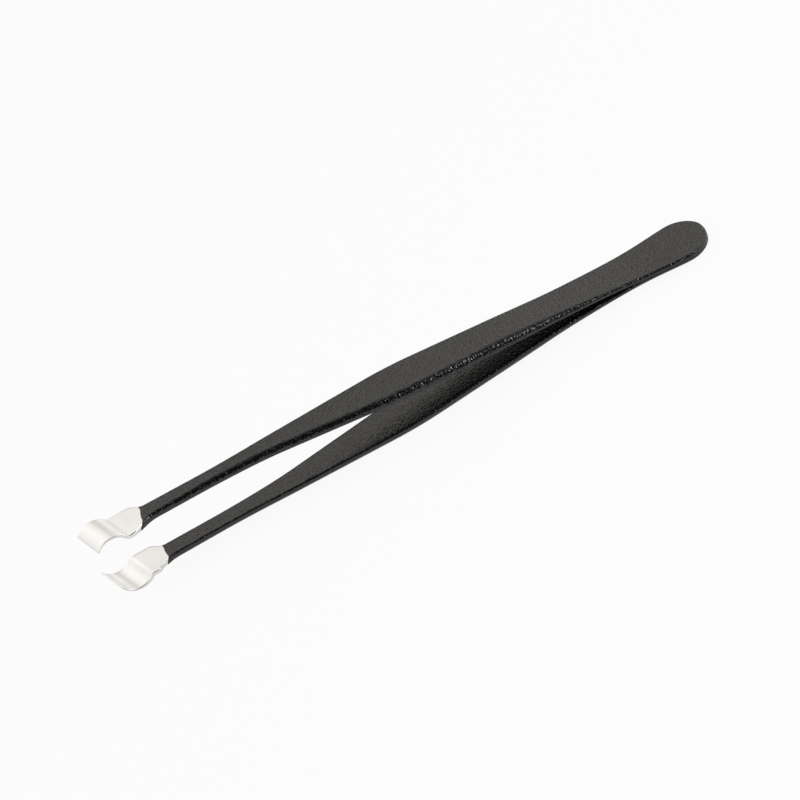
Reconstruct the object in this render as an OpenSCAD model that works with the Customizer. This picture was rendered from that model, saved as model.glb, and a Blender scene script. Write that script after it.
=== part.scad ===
// Component tweezers: two spring arms of stainless steel, welded face to face at
// the butt, with a black coating that stops short of the scoop-shaped paddles.
// Each arm is drawn along +X from the butt, as a section swept along its inner
// face, and the pair is then laid down as it rests on a table.

/* [Butt] */
// Width of the steel across the rounded butt
butt_w = 10.5; // [9:0.1:12]
// Length of the butt's rounded end
butt_round_l = 5.4; // [4:0.1:6.4]
// Length over which the two arms are welded together
weld_l = 13.1; // [10:0.1:16]
// Thickness of one arm at the butt
butt_t = 0.63; // [0.5:0.01:0.8]
// Radius on the outer edges of the butt
butt_edge_r = 0.32; // [0.1:0.02:0.4]

/* [Waist and grip] */
// Distance from the butt to the waist
waist_l = 21.2; // [19:0.1:23]
// Width where the straight sides of the waist would meet
waist_w = 7.05; // [6:0.05:8]
// Distance from the waist to the grip's shoulder
grip_l = 39.4; // [36:0.1:45]
// Width where the straight sides of the shoulder would meet
shoulder_w = 9.3; // [7.5:0.1:10]
// Thickness of one arm along the grip
grip_t = 1.5; // [1.2:0.01:1.65]
// Distance from the butt to the start of the full grip thickness
grip_t_start = 39.8; // [36:0.1:46]
// Radius on the outer edges of the waist
waist_edge_r = 0.4; // [0.1:0.05:0.5]
// Radius on the outer edges of the grip
grip_edge_r = 1.35; // [0.6:0.05:1.4]

/* [Taper and shank] */
// Length of the taper from the shoulder to the neck
taper_l = 30.5; // [26:0.5:34]
// Width where the taper's sides would meet the shank
neck_w = 3.3; // [2.6:0.05:3.8]
// Radius on the outer edges of the arm at the neck
neck_edge_r = 0.95; // [0.5:0.05:1.1]
// Length of the narrow shank, from the neck to the near side's flare
shank_l = 17.3; // [14:0.1:20]
// Width of the shank at the paddle's flare
shank_w = 3.5; // [2.8:0.05:4]
// Radius on the outer edges of the shank at the flare
shank_edge_r = 0.55; // [0.3:0.05:0.65]

/* [Paddle] */
// Length of the near side's flare, from the shank's width to the paddle's width
near_flare_l = 4.1; // [3:0.1:5]
// Length of the far side's flare, which is steeper
far_flare_l = 1.7; // [1.5:0.1:3]
// Distance by which the far side's flare starts later than the near side's
far_flare_lag = 0.7; // [0:0.1:1.4]
// Width of the paddle where the flares end
paddle_w = 7.1; // [6:0.1:8.4]
// Width of the paddle at its gripping edge
paddle_end_w = 6.8; // [5.5:0.1:8.4]
// Length of the flat part of the paddle after the near flare, up to the bend
paddle_flat_l = 1.3; // [1.2:0.1:3]
// Radius of the bend, on the inner face
bend_r = 1.15; // [1.05:0.05:1.5]
// Angle by which the bend turns outwards
bend_angle = 51; // [40:1:60]
// Inner radius of the round scoop
scoop_r = 3.1; // [2.4:0.1:3.6]
// Angle around the scoop, from the bend to the gripping edge
scoop_angle = 110; // [90:1:120]
// Thickness of the steel at the bend into the scoop
bend_t = 0.82; // [0.6:0.01:0.9]
// Thickness of the steel at the gripping edge
edge_t = 0.33; // [0.25:0.01:0.45]
// Thickness of the steel at the deepest point of the scoop
scoop_t = 0.5; // [0.4:0.01:0.65]
// Angle by which the upper paddle is set askew, seen from above
upper_skew = 16; // [0:1:18]
// Angle by which the lower paddle is set askew, seen from above
lower_skew = 17; // [0:1:18]
// Distance by which the upper paddle reaches past its drawn length
upper_reach = 0.2; // [-0.6:0.1:0.6]
// Distance by which the lower paddle reaches past its drawn length
lower_reach = -0.4; // [-0.6:0.1:0.6]

/* [Opening at rest] */
// Gap between the two steel arms where the grip starts
gap_back = 1.68; // [1.2:0.02:2.2]
// Distance from the butt to the point where that gap is measured
gap_back_at = 30.8; // [28:0.1:35]
// Gap between the two steel arms at the shoulder
gap_shoulder = 5.9; // [5:0.1:7]
// Gap between the two steel arms near the end of the taper
gap_taper = 8.42; // [7.4:0.02:9.4]
// Gap between the two steel arms at the bend into the scoop
gap_paddle = 8.8; // [7.6:0.02:9.8]

/* [Coating] */
// Thickness of the black coating
coat_t = 0.12; // [0.08:0.01:0.2]
// Length of the upper arm's coating past the start of the flare
upper_coat_l = 1.1; // [0.4:0.1:2]
// Length of the lower arm's coating past the start of the flare
lower_coat_l = 0.8; // [0.4:0.1:2]
// Angle of the coating's end against the arm, seen from the side
coat_end_rake = 31; // [0:1:35]
// Angle of the coating's end on the upper arm, seen from above
coat_end_slant = 10; // [0:1:14]

/* [Hidden] */

steel = [0.80, 0.79, 0.76];
black = [0.17, 0.17, 0.16];

// Distances from the butt, along the inner face
shoulder_at = waist_l + grip_l;
neck_at = shoulder_at + taper_l;
flare_at = neck_at + shank_l;
far_flare_at = flare_at + far_flare_lag;
paddle_at = flare_at + near_flare_l;
bend_at = paddle_at + paddle_flat_l;
scoop_at = bend_at + bend_r * bend_angle * PI / 180;
edge_at = scoop_at + scoop_r * scoop_angle * PI / 180;
gap_taper_at = neck_at - 5.5;
skew_from = flare_at + 1.5;
skew_to = bend_at;
coat_drawn_to = paddle_at + 1.4;

// Each line is a list of corners: distance from the butt, value there, and the
// length over which the corner is eased into a curve. The near and the far side
// have widths of their own, because their flares differ.
function width_line(flare_from, flare_to, ease_in, ease_out) = [
    [-1, butt_w, 0],
    [butt_round_l, butt_w, 4],
    [waist_l, waist_w, 23],
    [shoulder_at, shoulder_w, 10],
    [neck_at, neck_w, 17],
    [flare_from, shank_w, ease_in],
    [flare_to, paddle_w, ease_out],
    [edge_at, paddle_end_w, 0]
];
near_line = width_line(flare_at, paddle_at, 2.4, 2.4);
far_line = width_line(far_flare_at, far_flare_at + far_flare_l, 1, 1.6);
thickness_line = [
    [-1, butt_t, 0],
    [waist_l - 2.4, butt_t, 8],
    [grip_t_start, grip_t, 8],
    [neck_at + 5, grip_t - 0.13, 6],
    [flare_at, grip_t - 0.32, 4],
    [bend_at, bend_t, 2],
    [(scoop_at + edge_at) / 2, scoop_t, 3],
    [edge_at, edge_t, 0]
];
edge_line = [
    [-1, butt_edge_r, 0],
    [waist_l + 0.6, waist_edge_r, 6],
    [grip_t_start, grip_edge_r, 8],
    [neck_at + 5, neck_edge_r, 6],
    [flare_at, shank_edge_r, 4],
    [paddle_at, 0.2, 3],
    [edge_at, 0.08, 0]
];
half_gap_line = [
    [-1, 0, 0],
    [weld_l, 0, 4],
    [gap_back_at, gap_back / 2, 6],
    [shoulder_at, gap_shoulder / 2, 6],
    [gap_taper_at, gap_taper / 2, 6],
    [bend_at, gap_paddle / 2, 0]
];

// Stations at which sections are placed
butt_turns = [3, 10, 18, 28, 40, 54, 70, 88];
long_step = 3.2;
flare_step = 0.6;
bend_steps = 4;
scoop_steps = 18;
corner_steps = 4;
trim_size = 12;

// Value of an eased line at distance s from the butt
function slope(line, i) = (line[i + 1][1] - line[i][1]) / (line[i + 1][0] - line[i][0]);
function corner_ease(line, i, s) =
    let (reach = line[i][2] / 2, inside = reach - abs(s - line[i][0]))
    inside <= 0 ? 0 : (slope(line, i) - slope(line, i - 1)) * inside * inside / (4 * reach);
function sum(list, i = 0) = i >= len(list) ? 0 : list[i] + sum(list, i + 1);
function eased(line, s) =
    lookup(s, [for (corner = line) [corner[0], corner[1]]])
    + sum([for (i = [1 : len(line) - 2]) corner_ease(line, i, s)]);

// Place on the inner face of the upper arm: x, z and the angle of the face
function arm_place(s) =
    let (step = 0.01, rise = eased(half_gap_line, s + step) - eased(half_gap_line, s - step))
    [s, eased(half_gap_line, s), atan2(rise, 2 * step)];
function arc_place(start, radius, turn) =
    let (angle = start[2] + turn, side = turn < 0 ? -1 : 1)
    [start[0] + side * radius * (sin(angle) - sin(start[2])),
     start[1] + side * radius * (cos(start[2]) - cos(angle)),
     angle];
bend_start = arm_place(bend_at - 0.02);
scoop_start = arc_place(bend_start, bend_r, bend_angle);
function place(s) =
    s < bend_at ? arm_place(s)
    : s < scoop_at ? arc_place(bend_start, bend_r, (s - bend_at) / bend_r * 180 / PI)
    : arc_place(scoop_start, scoop_r, -(s - scoop_at) / scoop_r * 180 / PI);

// Half the width at distance s, with the steel grown by a skin
function half_width(line, s, skin) =
    let (reach = butt_round_l + skin, back = max(0, butt_round_l - s) / reach)
    (eased(line, s) / 2 + skin) * sqrt(max(0, 1 - back * back));

// Drop of the outer face where it rolls over the rounded butt
function end_drop(s, skin, radius) =
    let (back = radius - (s + skin))
    back <= 0 ? 0 : radius - sqrt(max(0, radius * radius - back * back));

// Share of the skew that applies at distance s
function skew_share(s) =
    let (t = min(1, max(0, (s - skew_from) / (skew_to - skew_from))))
    t * t * (3 - 2 * t);

// One section: flat inner face, upright sides and rounded outer edges
function section(s, skin) =
    let (near = half_width(near_line, s, skin),
         far = half_width(far_line, s, skin),
         edge = eased(edge_line, s) + skin,
         low = -skin,
         high = eased(thickness_line, s) + skin - end_drop(s, skin, edge),
         radius = min(edge, 0.9 * (high - low), 0.9 * min(near, far)),
         turns = [for (i = [0 : corner_steps]) 90 * i / corner_steps])
    concat([[near, low], [-far, low]],
           [for (t = turns) [-far + radius - radius * cos(t), high - radius + radius * sin(t)]],
           [for (t = turns) [near - radius + radius * sin(t), high - radius + radius * cos(t)]]);

// A section at its place. The bends stand askew, which also walks the steel aside.
function ring(s, skin, skew, reach) =
    let (p = place(s), share = skew_share(s), aside = (s - p[0]) * sin(skew) * cos(skew))
    [for (q = section(s, skin))
        [p[0] - q[1] * sin(p[2]) + (reach - q[0] * tan(skew)) * share,
         q[0] - aside,
         p[1] + q[1] * cos(p[2])]];

function butt_stations(skin) =
    [for (t = butt_turns) butt_round_l - (butt_round_l + skin) * cos(t)];
function even_stations(from, to, step) =
    let (count = ceil((to - from) / step))
    [for (i = [1 : count]) from + (to - from) * i / count];
function shank_stations(skin) =
    concat(butt_stations(skin),
           even_stations(butt_round_l, flare_at - 2, long_step),
           even_stations(flare_at - 2, paddle_at, flare_step));
steel_stations = concat(
    shank_stations(0),
    even_stations(paddle_at, bend_at, flare_step),
    even_stations(bend_at, scoop_at, (scoop_at - bend_at) / bend_steps),
    even_stations(scoop_at, edge_at, (edge_at - scoop_at) / scoop_steps));
coat_stations = concat(shank_stations(coat_t), [coat_drawn_to]);

// Rest on a table: the butt and the belly of the lower arm touch it
function outer_low(s) =
    let (p = place(s), skin = s > paddle_at ? 0 : coat_t, high = eased(thickness_line, s) + skin)
    [p[0] - high * sin(p[2]), p[1] + high * cos(p[2])];
butt_low = outer_low(1);
rest_tilt = max([for (s = even_stations(waist_l, edge_at, 1))
    atan2(outer_low(s)[1] - butt_low[1], outer_low(s)[0] - butt_low[0])]);
function laid(p) = [
    p[0] * cos(rest_tilt) - p[2] * sin(rest_tilt),
    p[0] * sin(rest_tilt) + p[2] * cos(rest_tilt)];
function side_view(stations, skin, skew, reach, side) =
    [for (s = stations, p = ring(s, skin, skew, reach)) laid([p[0], p[1], side * p[2]])];
outline = concat(
    side_view(steel_stations, 0, upper_skew, upper_reach, 1),
    side_view(steel_stations, 0, lower_skew, lower_reach, -1),
    side_view(coat_stations, coat_t, 0, 0, 1),
    side_view(coat_stations, coat_t, 0, 0, -1));
all_x = [for (p = outline) p[0]];
all_z = [for (p = outline) p[1]];
mid_x = (min(all_x) + max(all_x)) / 2;
low_z = min(all_z);

module swept(stations, skin, skew, reach) {
    rings = [for (s = stations) ring(s, skin, skew, reach)];
    sides = len(rings[0]);
    last = len(rings) - 1;
    points = [for (r = rings, p = r) p];
    walls = [for (i = [0 : last - 1], j = [0 : sides - 1], half = [0, 1])
        let (a = i * sides + j, b = i * sides + (j + 1) % sides)
        half == 0 ? [a, b, a + sides] : [b, b + sides, a + sides]];
    butt_cap = [for (j = [1 : sides - 2]) [0, j + 1, j]];
    edge_cap = [for (j = [1 : sides - 2]) [last * sides, last * sides + j, last * sides + j + 1]];
    polyhedron(points = points, faces = concat(walls, butt_cap, edge_cap));
}

module laid_down() {
    rotate([0, 0, 180])
        translate([-mid_x, 0, -low_z])
            rotate([0, -rest_tilt, 0])
                children();
}

module upper_steel() {
    swept(steel_stations, 0, upper_skew, upper_reach);
}

module lower_steel() {
    mirror([0, 0, 1])
        swept(steel_stations, 0, lower_skew, lower_reach);
}

// Block that trims the coating off beyond its end
module coat_trim(at, z, slant) {
    translate([at, 0, z])
        rotate([0, -coat_end_rake, -slant])
            translate([0, -trim_size / 2, -trim_size / 2])
                cube(trim_size);
}

module upper_coat() {
    difference() {
        swept(coat_stations, coat_t, upper_skew, upper_reach);
        coat_trim(flare_at + upper_coat_l, gap_paddle / 2 + grip_t, coat_end_slant);
    }
}

module lower_coat() {
    difference() {
        mirror([0, 0, 1])
            swept(coat_stations, coat_t, lower_skew, lower_reach);
        coat_trim(flare_at + lower_coat_l, -gap_paddle / 2, 0);
    }
}

module upper_arm() {
    color(steel)
        laid_down()
            upper_steel();
}

module lower_arm() {
    color(steel)
        laid_down()
            lower_steel();
}

module coating() {
    color(black)
        laid_down()
            difference() {
                union() {
                    upper_coat();
                    lower_coat();
                }
                upper_steel();
                lower_steel();
            }
}

upper_arm();
lower_arm();
coating();
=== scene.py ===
"""Component tweezers, black-coated with bare steel paddles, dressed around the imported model.

The arms and the coating are swept again here with many more sections than the solids have,
with the small roundings that stamped and coated steel has. Sizes are in millimetres, the
same as the solids', and become metres where a mesh is made.

An arm is drawn in its own frame: x and the distance s run from the butt to the tips, y runs
across it to the near side, and z is the height over the plane between the two arms.
"""

import math
from collections import namedtuple

import bpy
import numpy as np
from mathutils import Matrix, Vector

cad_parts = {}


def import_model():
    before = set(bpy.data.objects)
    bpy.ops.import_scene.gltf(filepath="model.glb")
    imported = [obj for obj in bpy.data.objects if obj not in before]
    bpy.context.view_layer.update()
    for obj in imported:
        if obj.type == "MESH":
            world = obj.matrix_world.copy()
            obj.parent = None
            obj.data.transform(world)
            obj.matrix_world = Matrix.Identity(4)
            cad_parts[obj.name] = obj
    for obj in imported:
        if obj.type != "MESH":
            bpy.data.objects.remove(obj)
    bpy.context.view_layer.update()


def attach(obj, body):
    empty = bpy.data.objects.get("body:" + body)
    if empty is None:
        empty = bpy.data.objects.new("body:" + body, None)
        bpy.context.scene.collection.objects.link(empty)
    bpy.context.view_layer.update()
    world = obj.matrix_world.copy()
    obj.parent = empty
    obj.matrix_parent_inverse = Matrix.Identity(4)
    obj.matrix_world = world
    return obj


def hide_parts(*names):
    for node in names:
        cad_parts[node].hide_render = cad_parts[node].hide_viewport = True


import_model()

MM = 0.001

# ---------------------------------------------------------------- sizes, as in the solids
butt_w, butt_round_l, weld_l, butt_t, butt_edge_r = 10.5, 5.4, 13.1, 0.63, 0.32
waist_l, waist_w = 21.2, 7.05
grip_l, shoulder_w, grip_t, grip_t_start = 39.4, 9.3, 1.5, 39.8
waist_edge_r, grip_edge_r, neck_edge_r = 0.4, 1.35, 0.95
taper_l, neck_w = 30.5, 3.3
shank_l, shank_w, shank_edge_r = 17.3, 3.5, 0.55
near_flare_l, far_flare_l, far_flare_lag = 4.1, 1.7, 0.7
paddle_w, paddle_end_w, paddle_flat_l = 7.1, 6.8, 1.3
bend_r, bend_angle, scoop_r, scoop_angle = 1.15, math.radians(51), 3.1, math.radians(110)
bend_t, edge_t, scoop_t = 0.82, 0.33, 0.5
gap_back, gap_back_at, gap_shoulder, gap_taper, gap_paddle = 1.68, 30.8, 5.9, 8.42, 8.8
coat_t = 0.12
coat_end_rake = math.radians(31)

shoulder_at = waist_l + grip_l
neck_at = shoulder_at + taper_l
flare_at = neck_at + shank_l
far_flare_at = flare_at + far_flare_lag
paddle_at = flare_at + near_flare_l
bend_at = paddle_at + paddle_flat_l
scoop_at = bend_at + bend_r * bend_angle
edge_at = scoop_at + scoop_r * scoop_angle
gap_taper_at = neck_at - 5.5
skew_from, skew_to = flare_at + 1.5, bend_at

# side is 1 above the plane between the arms and -1 below it; the coating runs coat_l past the
# start of the near flare, and its end slants by end_slant and passes that point at end_z
Arm = namedtuple("Arm", "side skew reach coat_l end_slant end_z")
UPPER = Arm(1, math.radians(16), 0.2, 1.1, math.radians(10), gap_paddle / 2 + grip_t)
LOWER = Arm(-1, math.radians(17), -0.4, 0.8, 0.0, -gap_paddle / 2)
ARMS = {"upper": UPPER, "lower": LOWER}


# A line is a list of corners: distance s, value, and the length over which it is eased.
def width_line(flare_from, flare_to, ease_in, ease_out):
    return [
        (-1, butt_w, 0),
        (butt_round_l, butt_w, 4),
        (waist_l, waist_w, 23),
        (shoulder_at, shoulder_w, 10),
        (neck_at, neck_w, 17),
        (flare_from, shank_w, ease_in),
        (flare_to, paddle_w, ease_out),
        (edge_at, paddle_end_w, 0),
    ]


near_line = width_line(flare_at, paddle_at, 2.4, 2.4)
far_line = width_line(far_flare_at, far_flare_at + far_flare_l, 1, 1.6)
thickness_line = [
    (-1, butt_t, 0),
    (waist_l - 2.4, butt_t, 8),
    (grip_t_start, grip_t, 8),
    (neck_at + 5, grip_t - 0.13, 6),
    (flare_at, grip_t - 0.32, 4),
    (bend_at, bend_t, 2),
    ((scoop_at + edge_at) / 2, scoop_t, 3),
    (edge_at, edge_t, 0),
]
edge_line = [
    (-1, butt_edge_r, 0),
    (waist_l + 0.6, waist_edge_r, 6),
    (grip_t_start, grip_edge_r, 8),
    (neck_at + 5, neck_edge_r, 6),
    (flare_at, shank_edge_r, 4),
    (paddle_at, 0.2, 3),
    (edge_at, 0.08, 0),
]
half_gap_line = [
    (-1, 0, 0),
    (weld_l, 0, 4),
    (gap_back_at, gap_back / 2, 6),
    (shoulder_at, gap_shoulder / 2, 6),
    (gap_taper_at, gap_taper / 2, 6),
    (bend_at, gap_paddle / 2, 0),
]

# ---------------------------------------------------------------- sizes of this model alone
STEEL_INNER_R, COAT_INNER_R = 0.12, 0.32  # rounding of the edges that face the other arm
WELD_INNER_R = 0.08  # what is left of that rounding where the arms meet
OUTER_R_SHARE = 0.9  # an outer rounding's largest share of the thickness or the half width
INNER_R_SHARE, INNER_R_REST = 0.18, 0.95  # the same for inner ones: half width, side left over
CLEARANCE = 0.018  # the steel is drawn this much smaller, to stay inside the solids' box
STEEL_END_R = 0.1  # rounding of the gripping edge
STEEL_END_TURNS = np.radians([30, 60, 80])
LIP_TURNS = np.radians([22, 45, 68, 90])
COAT_END_L, COAT_END_STEP, COAT_END_PASSES = 5, 0.25, 5
# waver of the coating's end: depth, its turns along y and z, and its start
WAVER = ((0.05, 2.3, 1.1, 0), (0.03, 5.1, -2.0, 0.7))

SLOPE_STEP = 0.01
FLAT_STEPS, INNER_STEPS, SIDE_STEPS, OUTER_STEPS = 8, 4, 3, 12
FLAT_SPREAD = 0.6  # below 1, a flat face's points crowd towards its edges
BUTT_FIRST_TURN, BUTT_SPREAD = 1.5, 1.3
STEEL_BUTT_STEPS, COAT_BUTT_STEPS = 14, 26
ARM_STEP, SHANK_STEP, BEND_STEP, SCOOP_STEP = 1.2, 0.16, 0.08, 0.09
SHANK_END_L = 3
COAT_OUTER_STEP, COAT_INSIDE_STEP = 0.45, 2.0


# ---------------------------------------------------------------- the shape of an arm
def eased(line, s):
    """Value at distance s from the butt, on a line whose corners are eased into curves."""
    at = np.array([corner[0] for corner in line], float)
    value = np.array([corner[1] for corner in line], float)
    slope = np.diff(value) / np.diff(at)
    result = np.interp(s, at, value)
    for i in range(1, len(line) - 1):
        reach = line[i][2] / 2
        inside = np.maximum(0, reach - np.abs(s - at[i]))
        result = result + (slope[i] - slope[i - 1]) * inside**2 / (4 * reach)
    return result


def arm_place(s):
    """Inner face of the upper arm before the bend: x, z and slope angle."""
    rise = eased(half_gap_line, s + SLOPE_STEP) - eased(half_gap_line, s - SLOPE_STEP)
    return s, eased(half_gap_line, s), np.arctan2(rise, 2 * SLOPE_STEP)


def arc_place(start, radius, turn):
    """The same on an arc that begins at start and has turned by an angle, up or down."""
    x, z, angle = start
    side = np.where(turn < 0, -1, 1)
    end = angle + turn
    return (
        x + side * radius * (np.sin(end) - np.sin(angle)),
        z + side * radius * (np.cos(angle) - np.cos(end)),
        end,
    )


def place(s):
    """The same anywhere on the arm: x, z and slope angle at distance s."""
    bend_start = arm_place(bend_at - 2 * SLOPE_STEP)
    scoop_start = arc_place(bend_start, bend_r, bend_angle)
    straight = arm_place(np.minimum(s, bend_at))
    bend = arc_place(bend_start, bend_r, np.clip(s - bend_at, 0, scoop_at - bend_at) / bend_r)
    scoop = arc_place(scoop_start, scoop_r, -np.maximum(0, s - scoop_at) / scoop_r)
    return [
        np.where(s < bend_at, a, np.where(s < scoop_at, b, c))
        for a, b, c in zip(straight, bend, scoop)
    ]


def smooth(t):
    t = np.clip(t, 0, 1)
    return t * t * (3 - 2 * t)


def skew_share(s):
    return smooth((s - skew_from) / (skew_to - skew_from))


def flat_share(t):
    return math.copysign(abs(t) ** FLAT_SPREAD, t)


def ring_weights():
    """One section as weights of its half width, outer radius, inner radius, height and base.

    It starts at the near end of the inner face and runs round by the far side and the top.
    Columns: y from the half width, outer and inner radius; then the height above the inner
    face from its highest, its lowest, outer and inner radius.
    """
    rows = []
    for k in range(FLAT_STEPS + 1):
        t = flat_share(1 - 2 * k / FLAT_STEPS)
        rows.append((t, 0, -t, 0, 1, 0, 0))
    for k in range(1, INNER_STEPS + 1):
        a = math.radians(90 * (1 - k / INNER_STEPS))
        rows.append((-1, 0, 1 - math.cos(a), 0, 1, 0, 1 - math.sin(a)))
    for k in range(1, SIDE_STEPS):
        f = k / SIDE_STEPS
        rows.append((-1, 0, 0, f, 1 - f, -f, 1 - f))
    for k in range(OUTER_STEPS + 1):
        a = math.radians(90 * k / OUTER_STEPS)
        rows.append((-1, 1 - math.cos(a), 0, 1, 0, math.sin(a) - 1, 0))
    for k in range(1, FLAT_STEPS):
        t = flat_share(-1 + 2 * k / FLAT_STEPS)
        rows.append((t, -t, 0, 1, 0, 0, 0))
    for k in range(OUTER_STEPS + 1):
        a = math.radians(90 * (1 - k / OUTER_STEPS))
        rows.append((1, math.cos(a) - 1, 0, 1, 0, math.sin(a) - 1, 0))
    for k in range(1, SIDE_STEPS):
        f = 1 - k / SIDE_STEPS
        rows.append((1, 0, 0, f, 1 - f, -f, 1 - f))
    for k in range(INNER_STEPS):
        a = math.radians(90 * k / INNER_STEPS)
        rows.append((1, 0, math.cos(a) - 1, 0, 1, 0, 1 - math.sin(a)))
    return np.array(rows)


WEIGHTS = ring_weights()
RING = len(WEIGHTS)


def arm_points(s, skin, arm):
    """Points of the arm's surface, grown by a skin: s holds a distance for each ring point."""
    skin = np.broadcast_to(skin, s.shape)
    back = np.maximum(0, butt_round_l - s) / (butt_round_l + skin)
    rounding = np.sqrt(np.maximum(0, 1 - back * back))
    near = (eased(near_line, s) / 2 + skin) * rounding
    far = (eased(far_line, s) / 2 + skin) * rounding
    half = np.minimum(near, far)
    edge = eased(edge_line, s) + skin
    over = edge - (s + skin)
    drop = np.where(over > 0, edge - np.sqrt(np.maximum(0, edge**2 - over**2)), 0)
    half_gap = eased(half_gap_line, s)
    low = -np.minimum(skin, half_gap)
    high = eased(thickness_line, s) + skin - drop
    radius = np.minimum(edge, OUTER_R_SHARE * (high - low))
    radius = np.minimum(radius, OUTER_R_SHARE * half)
    inner = np.where(skin > 0, COAT_INNER_R, STEEL_INNER_R)
    inner = np.minimum(inner, WELD_INNER_R + half_gap)
    inner = np.minimum(inner, INNER_R_SHARE * half)
    inner = np.minimum(inner, INNER_R_REST * (high - low - radius))
    w = WEIGHTS.T
    y = w[0] * np.where(w[0] > 0, near, far) + w[1] * radius + w[2] * inner
    n = w[3] * high + w[4] * low + w[5] * radius + w[6] * inner
    x, z, angle = place(s)
    aside = (s - x) * math.sin(arm.skew) * math.cos(arm.skew)
    forward = (arm.reach - y * math.tan(arm.skew)) * skew_share(s)
    along = x - n * np.sin(angle) + forward
    return np.stack([along, y - aside, arm.side * (z + n * np.cos(angle))], axis=-1)


def between(start, end, step):
    """Even distances after start up to end, no further apart than step."""
    count = max(1, math.ceil((end - start) / step))
    return start + (end - start) * np.arange(1, count + 1) / count


def butt_stations(skin, count):
    """Distances round the butt's end, closer together near its tip."""
    share = (np.arange(count + 1) / count) ** BUTT_SPREAD
    turn = np.radians(BUTT_FIRST_TURN + (90 - BUTT_FIRST_TURN) * share)
    return butt_round_l - (butt_round_l + skin) * np.cos(turn)


# ---------------------------------------------------------------- laying the pair on the table
def outer_face(s):
    """The upper arm's outer face, coated up to the paddle; the lower arm's is its mirror image."""
    x, z, angle = place(s)
    high = eased(thickness_line, s) + np.where(s > paddle_at, 0, coat_t)
    return x - high * np.sin(angle), z + high * np.cos(angle)


butt_x, butt_z = outer_face(np.array([1.0]))
belly_x, belly_z = outer_face(between(waist_l, edge_at, 1))
REST_TILT = float(np.max(np.arctan2(belly_z - butt_z, belly_x - butt_x)))


def laid(points):
    """Points of an arm tilted to rest on the table, with the tips turned towards -X."""
    x, y, z = points[..., 0], points[..., 1], points[..., 2]
    c, s = math.cos(REST_TILT), math.sin(REST_TILT)
    return np.stack([-(x * c - z * s), -y, x * s + z * c], axis=-1)


# ---------------------------------------------------------------- meshes
def rings(stations, skin, arm):
    s = np.repeat(np.asarray(stations, float)[:, None], RING, axis=1)
    return arm_points(s, skin, arm)


def steel_rings(arm):
    """The bare arm from the butt to its gripping edge, which is rounded over."""
    end_from = edge_at - STEEL_END_R
    stations = np.concatenate(
        [
            butt_stations(-CLEARANCE, STEEL_BUTT_STEPS),
            between(butt_round_l, flare_at - SHANK_END_L, ARM_STEP),
            between(flare_at - SHANK_END_L, bend_at, SHANK_STEP),
            between(bend_at, scoop_at, BEND_STEP),
            between(scoop_at, end_from, SCOOP_STEP),
        ]
    )
    parts = [rings(stations, -CLEARANCE, arm)]
    for turn in STEEL_END_TURNS:
        shrink = STEEL_END_R * (1 - math.cos(turn))
        s = end_from + STEEL_END_R * np.sin(turn)
        parts.append(rings([s], -CLEARANCE - shrink, arm))
    return np.concatenate(parts)


def waver(y, z):
    """The small waver of the masked line that the coating ends on."""
    return sum(depth * np.sin(a * y + b * z + start) for depth, a, b, start in WAVER)


def coat_end(arm):
    """Where the coating ends, for each ring point of its outer surface."""
    s = np.full((1, RING), flare_at + arm.coat_l)
    for _ in range(COAT_END_PASSES):
        x, y, z = np.moveaxis(arm_points(s, coat_t, arm), -1, 0)
        end = flare_at + arm.coat_l + math.tan(arm.end_slant) * y + waver(y, z)
        end -= math.tan(coat_end_rake) / math.cos(arm.end_slant) * (z - arm.end_z)
        s = s + end - x
    return s[0]


def coat_rings(arm, skin, step):
    """The coating's outer or inner surface, with the rounded lip at its end on the outer one."""
    ends = coat_end(arm)
    lip = coat_t if skin > 0 else 0.0
    middle = float(np.mean(ends)) - lip
    shift_from = middle - COAT_END_L
    stations = np.concatenate(
        [
            butt_stations(skin, COAT_BUTT_STEPS),
            between(butt_round_l, shift_from, step),
            between(shift_from, middle, min(step, COAT_END_STEP)),
        ]
    )
    share = smooth((stations - shift_from) / COAT_END_L)
    shift = share[:, None] * (ends - lip - middle)[None, :]
    body = arm_points(stations[:, None] + shift, skin, arm)
    if not skin > 0:
        return body, stations
    lips, lip_s = [], []
    for turn in LIP_TURNS:
        s = (ends - lip + lip * math.sin(turn))[None, :]
        lips.append(arm_points(s, coat_t * math.cos(turn), arm))
        lip_s.append(middle + lip)
    return np.concatenate([body] + lips), np.concatenate([stations, lip_s])


def tube(points, first, flip, skip_inner=None, cap_end=True):
    """Faces of a swept tube whose rings start at vertex number first.

    skip_inner marks the rings between which the inner face is left out, since it would lie
    on the other arm's.
    """
    count = len(points)
    faces = []
    for i in range(count - 1):
        open_inside = skip_inner is not None and skip_inner[i] and skip_inner[i + 1]
        for j in range(RING):
            if open_inside and j < FLAT_STEPS:
                continue
            k = (j + 1) % RING
            a, b = first + i * RING, first + (i + 1) * RING
            faces.append((a + j, a + k, b + k, b + j))
    faces.append(tuple(first + j for j in reversed(range(RING))))
    if cap_end:
        last = first + (count - 1) * RING
        faces.append(tuple(last + j for j in range(RING)))
    return [tuple(reversed(f)) for f in faces] if flip else faces


def new_piece(name, points, faces):
    mesh = bpy.data.meshes.new(name)
    mesh.from_pydata([tuple(p) for p in points * MM], [], faces)
    mesh.validate()
    mesh.polygons.foreach_set("use_smooth", [True] * len(mesh.polygons))
    piece = bpy.data.objects.new(name, mesh)
    bpy.context.scene.collection.objects.link(piece)
    weld = piece.modifiers.new("weld", "WELD")
    weld.merge_threshold = 2e-8
    normals = piece.modifiers.new("normals", "WEIGHTED_NORMAL")
    normals.keep_sharp = False
    normals.weight = 60
    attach(piece, "root")
    return piece


def merged(stations, skin):
    """Where the surfaces of both arms meet in the plane between them."""
    return eased(half_gap_line, np.asarray(stations)) <= max(skin, 0) + 1e-9


steel_points = {label: laid(steel_rings(arm)) for label, arm in ARMS.items()}

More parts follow.
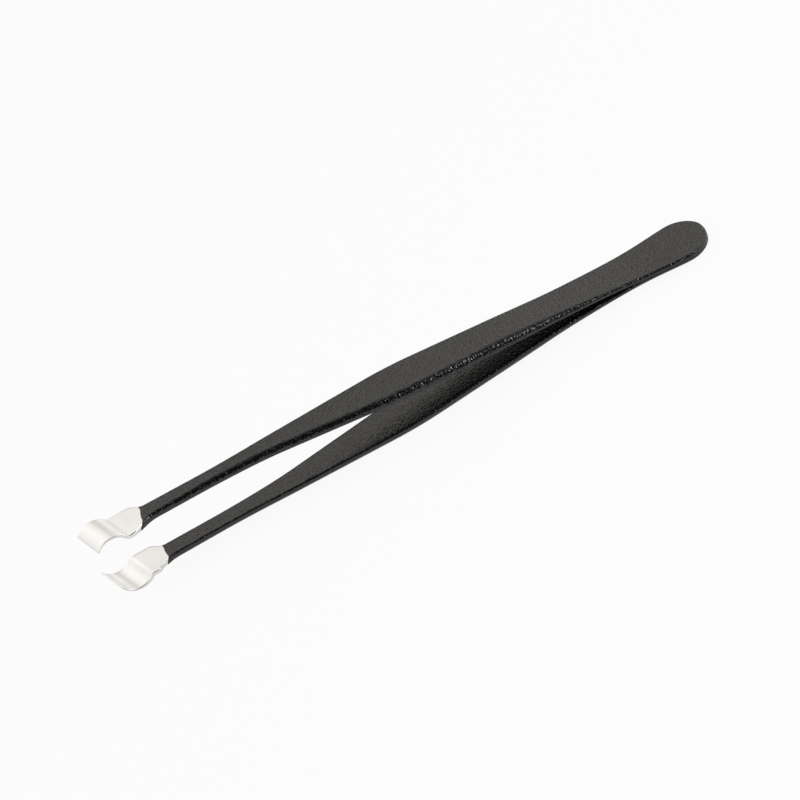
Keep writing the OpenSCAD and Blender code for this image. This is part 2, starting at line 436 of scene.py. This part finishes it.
film_points, film_faces, first = [], [], 0
for arm in ARMS.values():
    for skin, step in ((coat_t, COAT_OUTER_STEP), (0.0, COAT_INSIDE_STEP)):
        ring_points, stations = coat_rings(arm, skin, step)
        flip = (arm.side > 0) == (skin > 0)
        film_faces += tube(ring_points, first, flip, merged(stations, skin), cap_end=False)
        film_points.append(laid(ring_points).reshape(-1, 3))
        first += len(ring_points) * RING
film_points = np.concatenate(film_points)

everything = np.concatenate([film_points] + [p.reshape(-1, 3) for p in steel_points.values()])
low, high = everything.min(0), everything.max(0)
REST_SHIFT = np.array([-(low[0] + high[0]) / 2, 0.0, -low[2]])

steel_arms = []
for label, arm in ARMS.items():
    points = steel_points[label] + REST_SHIFT
    faces = tube(points, 0, arm.side > 0)
    piece = new_piece(label + "_steel_arm", points.reshape(-1, 3), faces)
    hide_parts(label + "_arm")
    steel_arms.append(piece)

film = new_piece("coating_film", film_points + REST_SHIFT, film_faces)
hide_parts("coating")

# ---------------------------------------------------------------- materials
NOISE_RANGE = (0.3, 0.7)  # where nearly all of a noise texture's values lie

COAT_COLOURS = (0.0010, 0.0010, 0.0008), (0.0022, 0.0020, 0.0017)
COAT_ROUGHNESS = (0.2, 0.3)
COAT_SPECULAR = 0.72
GRAIN_DEPTH, FINE_GRAIN_DEPTH = 0.00014, 0.00002  # metres

STEEL_COLOURS = (0.885, 0.88, 0.87), (0.925, 0.92, 0.91)
STEEL_ROUGHNESS = (0.3, 0.38)
SCRATCH_STRETCH = (0.35, 6.0, 0.35)  # long along the arm and narrow across it
SCRATCH_DEPTH, SATIN_DEPTH = 0.000004, 0.000003  # metres


def material(name):
    made = bpy.data.materials.new(name)
    made.use_nodes = True
    tree = made.node_tree
    shader = tree.nodes["Principled BSDF"]
    coords = tree.nodes.new("ShaderNodeTexCoord")
    return made, tree, shader, coords.outputs["Object"]


def noise(tree, coords, scale, detail, roughness, stretch=None):
    source = coords
    if stretch is not None:
        mapping = tree.nodes.new("ShaderNodeMapping")
        mapping.inputs["Scale"].default_value = stretch
        tree.links.new(coords, mapping.inputs["Vector"])
        source = mapping.outputs["Vector"]
    node = tree.nodes.new("ShaderNodeTexNoise")
    node.inputs["Scale"].default_value = scale
    node.inputs["Detail"].default_value = detail
    node.inputs["Roughness"].default_value = roughness
    tree.links.new(source, node.inputs["Vector"])
    return node.outputs["Fac"]


def remap(tree, value, from_low, from_high, to_low, to_high, kind="LINEAR"):
    node = tree.nodes.new("ShaderNodeMapRange")
    node.interpolation_type = kind
    node.inputs["From Min"].default_value = from_low
    node.inputs["From Max"].default_value = from_high
    node.inputs["To Min"].default_value = to_low
    node.inputs["To Max"].default_value = to_high
    tree.links.new(value, node.inputs["Value"])
    return node.outputs["Result"]


def ramp(tree, value, start, end, to_low=0, to_high=1):
    """Runs smoothly from one value to another, as the input goes from start to end."""
    return remap(tree, value, start, end, to_low, to_high, "SMOOTHSTEP")


def maths(tree, operation, first, second=None):
    node = tree.nodes.new("ShaderNodeMath")
    node.operation = operation
    tree.links.new(first, node.inputs[0])
    if second is not None:
        tree.links.new(second, node.inputs[1])
    return node.outputs["Value"]


def mix_colour(tree, factor, dark, light):
    node = tree.nodes.new("ShaderNodeMix")
    node.data_type = "RGBA"
    node.inputs["A"].default_value = (*dark, 1)
    node.inputs["B"].default_value = (*light, 1)
    tree.links.new(factor, node.inputs["Factor"])
    return node.outputs["Result"]


def bump(tree, height, distance, strength, below=None):
    node = tree.nodes.new("ShaderNodeBump")
    node.inputs["Distance"].default_value = distance
    node.inputs["Strength"].default_value = strength
    tree.links.new(height, node.inputs["Height"])
    if below is not None:
        tree.links.new(below, node.inputs["Normal"])
    return node.outputs["Normal"]


def blotched(tree, blotch, colours):
    return mix_colour(tree, remap(tree, blotch, *NOISE_RANGE, 0, 1), *colours)


def black_coating():
    made, tree, shader, coords = material("black_coating")
    blotch = noise(tree, coords, 90, 3, 0.5)
    grain = noise(tree, coords, 2100, 1, 0.5)
    fine = noise(tree, coords, 3400, 1, 0.5)
    rough = remap(tree, grain, *NOISE_RANGE, *COAT_ROUGHNESS)
    coarse = bump(tree, grain, GRAIN_DEPTH, 1.0)
    normal = bump(tree, fine, FINE_GRAIN_DEPTH, 1.0, coarse)
    tree.links.new(blotched(tree, blotch, COAT_COLOURS), shader.inputs["Base Color"])
    tree.links.new(rough, shader.inputs["Roughness"])
    tree.links.new(normal, shader.inputs["Normal"])
    shader.inputs["Specular IOR Level"].default_value = COAT_SPECULAR
    return made


def bare_steel():
    made, tree, shader, coords = material("bare_steel")
    blotch = noise(tree, coords, 260, 2, 0.5)
    satin = noise(tree, coords, 5200, 2, 0.6)
    lines = noise(tree, coords, 900, 2, 0.6, SCRATCH_STRETCH)
    rough = remap(tree, satin, *NOISE_RANGE, *STEEL_ROUGHNESS)
    scratches = bump(tree, lines, SCRATCH_DEPTH, 0.5)
    normal = bump(tree, satin, SATIN_DEPTH, 0.5, scratches)
    tree.links.new(blotched(tree, blotch, STEEL_COLOURS), shader.inputs["Base Color"])
    tree.links.new(rough, shader.inputs["Roughness"])
    tree.links.new(normal, shader.inputs["Normal"])
    shader.inputs["Metallic"].default_value = 1.0
    return made


def give(piece, made):
    piece.data.materials.clear()
    piece.data.materials.append(made)


steel_material, coat_material = bare_steel(), black_coating()
for piece in steel_arms:
    give(piece, steel_material)
give(film, coat_material)

# ---------------------------------------------------------------- floor, light and camera
FLOOR_REACH, FLOOR_DROP = 3.0, 0.00002  # metres
FLOOR_GREY = 0.9
FLOOR_SEEN, FLOOR_SHINE = 0.92, 0.45  # share of plain white seen directly and in reflections

OPEN_LEVEL, FRONT_LEVEL = 1.12, 0.02  # the studio's open back and its darkest front
LOW_BACK_SHARE, SIDE_SHARE = 0.2, 0.9
COOL, WARM = (0.98, 1, 0.985), (1, 0.975, 0.94)

# found by fitting the arms' outlines to the photograph; eye is in millimetres
EYE = (-25.739, -475.412, 379.034)
FORWARD = (0.041384, 0.784617, -0.618598)
LEVEL_RIGHT = (0.996447, -0.077867, -0.032103)
LEVEL_DOWN = (-0.073357, -0.615072, -0.785051)
ROLL = math.radians(27.7)
FOCAL_PX, PHOTO_PX, SENSOR = 3500, 800, 36


def floor():
    mesh = bpy.data.meshes.new("floor")
    r = FLOOR_REACH
    corners = [(-r, -r, 0), (r, -r, 0), (r, r, 0), (-r, r, 0)]
    mesh.from_pydata(corners, [], [(0, 1, 2, 3)])
    piece = bpy.data.objects.new("floor", mesh)
    piece.location.z = -FLOOR_DROP
    bpy.context.scene.collection.objects.link(piece)
    made = bpy.data.materials.new("floor")
    made.use_nodes = True
    tree = made.node_tree
    shader = tree.nodes["Principled BSDF"]
    shader.inputs["Base Color"].default_value = (FLOOR_GREY, FLOOR_GREY, FLOOR_GREY, 1)
    shader.inputs["Roughness"].default_value = 0.9
    shader.inputs["Specular IOR Level"].default_value = 0.0
    glow = tree.nodes.new("ShaderNodeEmission")
    glow.inputs["Strength"].default_value = 1.0
    path = tree.nodes.new("ShaderNodeLightPath")
    seen = remap(tree, path.outputs["Is Camera Ray"], 0, 1, 0, FLOOR_SEEN)
    shine = remap(tree, path.outputs["Is Glossy Ray"], 0, 1, 0, FLOOR_SHINE)
    mix = tree.nodes.new("ShaderNodeMixShader")
    tree.links.new(maths(tree, "MAXIMUM", seen, shine), mix.inputs["Fac"])
    tree.links.new(shader.outputs["BSDF"], mix.inputs[1])
    tree.links.new(glow.outputs["Emission"], mix.inputs[2])
    tree.links.new(mix.outputs["Shader"], tree.nodes["Material Output"].inputs["Surface"])
    mesh.materials.append(made)


def studio_level(tree, x, y, z):
    """Light from each direction: open behind, darker in front, low behind and at the sides."""
    aside = maths(tree, "ABSOLUTE", x)
    middle = ramp(tree, aside, 0.75, 0.5)
    front = maths(tree, "MULTIPLY", middle, remap(tree, y, 0.62, -0.35, 0, 1))
    low = maths(tree, "MULTIPLY", ramp(tree, aside, 0.4, 0.15), ramp(tree, z, 0.72, 0.34))
    low = maths(tree, "MULTIPLY", low, ramp(tree, y, 0.0, 0.3))
    level = remap(tree, front, 0, 1, OPEN_LEVEL, FRONT_LEVEL)
    level = maths(tree, "MULTIPLY", level, remap(tree, low, 0, 1, 1, LOW_BACK_SHARE))
    return maths(tree, "MULTIPLY", level, ramp(tree, aside, 0.35, 0.65, 1, SIDE_SHARE))


def world():
    """White behind the object, and a studio that is darker on the photographer's side."""
    made = bpy.data.worlds.new("studio")
    bpy.context.scene.world = made
    made.use_nodes = True
    tree = made.node_tree
    coords = tree.nodes.new("ShaderNodeTexCoord")
    split = tree.nodes.new("ShaderNodeSeparateXYZ")
    tree.links.new(coords.outputs["Generated"], split.inputs["Vector"])
    x, y, z = (split.outputs[axis] for axis in "XYZ")
    studio = tree.nodes["Background"]
    tree.links.new(studio_level(tree, x, y, z), studio.inputs["Strength"])
    tint = mix_colour(tree, ramp(tree, y, 0.2, 0.6), COOL, WARM)
    tree.links.new(tint, studio.inputs["Color"])
    seen = tree.nodes.new("ShaderNodeBackground")
    seen.inputs["Strength"].default_value = 1.0
    seen.inputs["Color"].default_value = (1, 1, 1, 1)
    path = tree.nodes.new("ShaderNodeLightPath")
    mix = tree.nodes.new("ShaderNodeMixShader")
    tree.links.new(path.outputs["Is Camera Ray"], mix.inputs["Fac"])
    tree.links.new(studio.outputs["Background"], mix.inputs[1])
    tree.links.new(seen.outputs["Background"], mix.inputs[2])
    tree.links.new(mix.outputs["Shader"], tree.nodes["World Output"].inputs["Surface"])


def softbox(name, place_at, aim, width, height, power):
    light = bpy.data.lights.new(name, "AREA")
    light.shape = "RECTANGLE"
    light.size, light.size_y = width, height
    light.energy = power
    lamp = bpy.data.objects.new(name, light)
    lamp.location = place_at
    direction = Vector(aim) - Vector(place_at)
    lamp.rotation_euler = direction.to_track_quat("-Z", "Y").to_euler()
    bpy.context.scene.collection.objects.link(lamp)


def camera():
    """A long lens, looking down on the near side with the camera rolled as in the photograph."""
    forward, eye = Vector(FORWARD), Vector(EYE) * MM
    level_right, level_down = Vector(LEVEL_RIGHT), Vector(LEVEL_DOWN)
    right = math.cos(ROLL) * level_right + math.sin(ROLL) * level_down
    down = -math.sin(ROLL) * level_right + math.cos(ROLL) * level_down
    lens = bpy.data.cameras.new("camera")
    lens.sensor_width = SENSOR
    lens.lens = FOCAL_PX * SENSOR / PHOTO_PX
    lens.clip_start, lens.clip_end = 0.01, 20
    made = bpy.data.objects.new("camera", lens)
    turn = Matrix((right, -down, -forward)).transposed()
    made.matrix_world = Matrix.Translation(eye) @ turn.to_4x4()
    bpy.context.scene.collection.objects.link(made)
    bpy.context.scene.camera = made


floor()
world()
softbox("back_left", (-0.25, 0.42, 0.32), (-0.04, 0, 0), 0.5, 0.4, 0.08)
softbox("front_right", (0.23, -0.25, 0.25), (0.03, 0, 0), 0.08, 0.08, 0.4)
camera()
bpy.context.scene.view_settings.view_transform = "Standard"
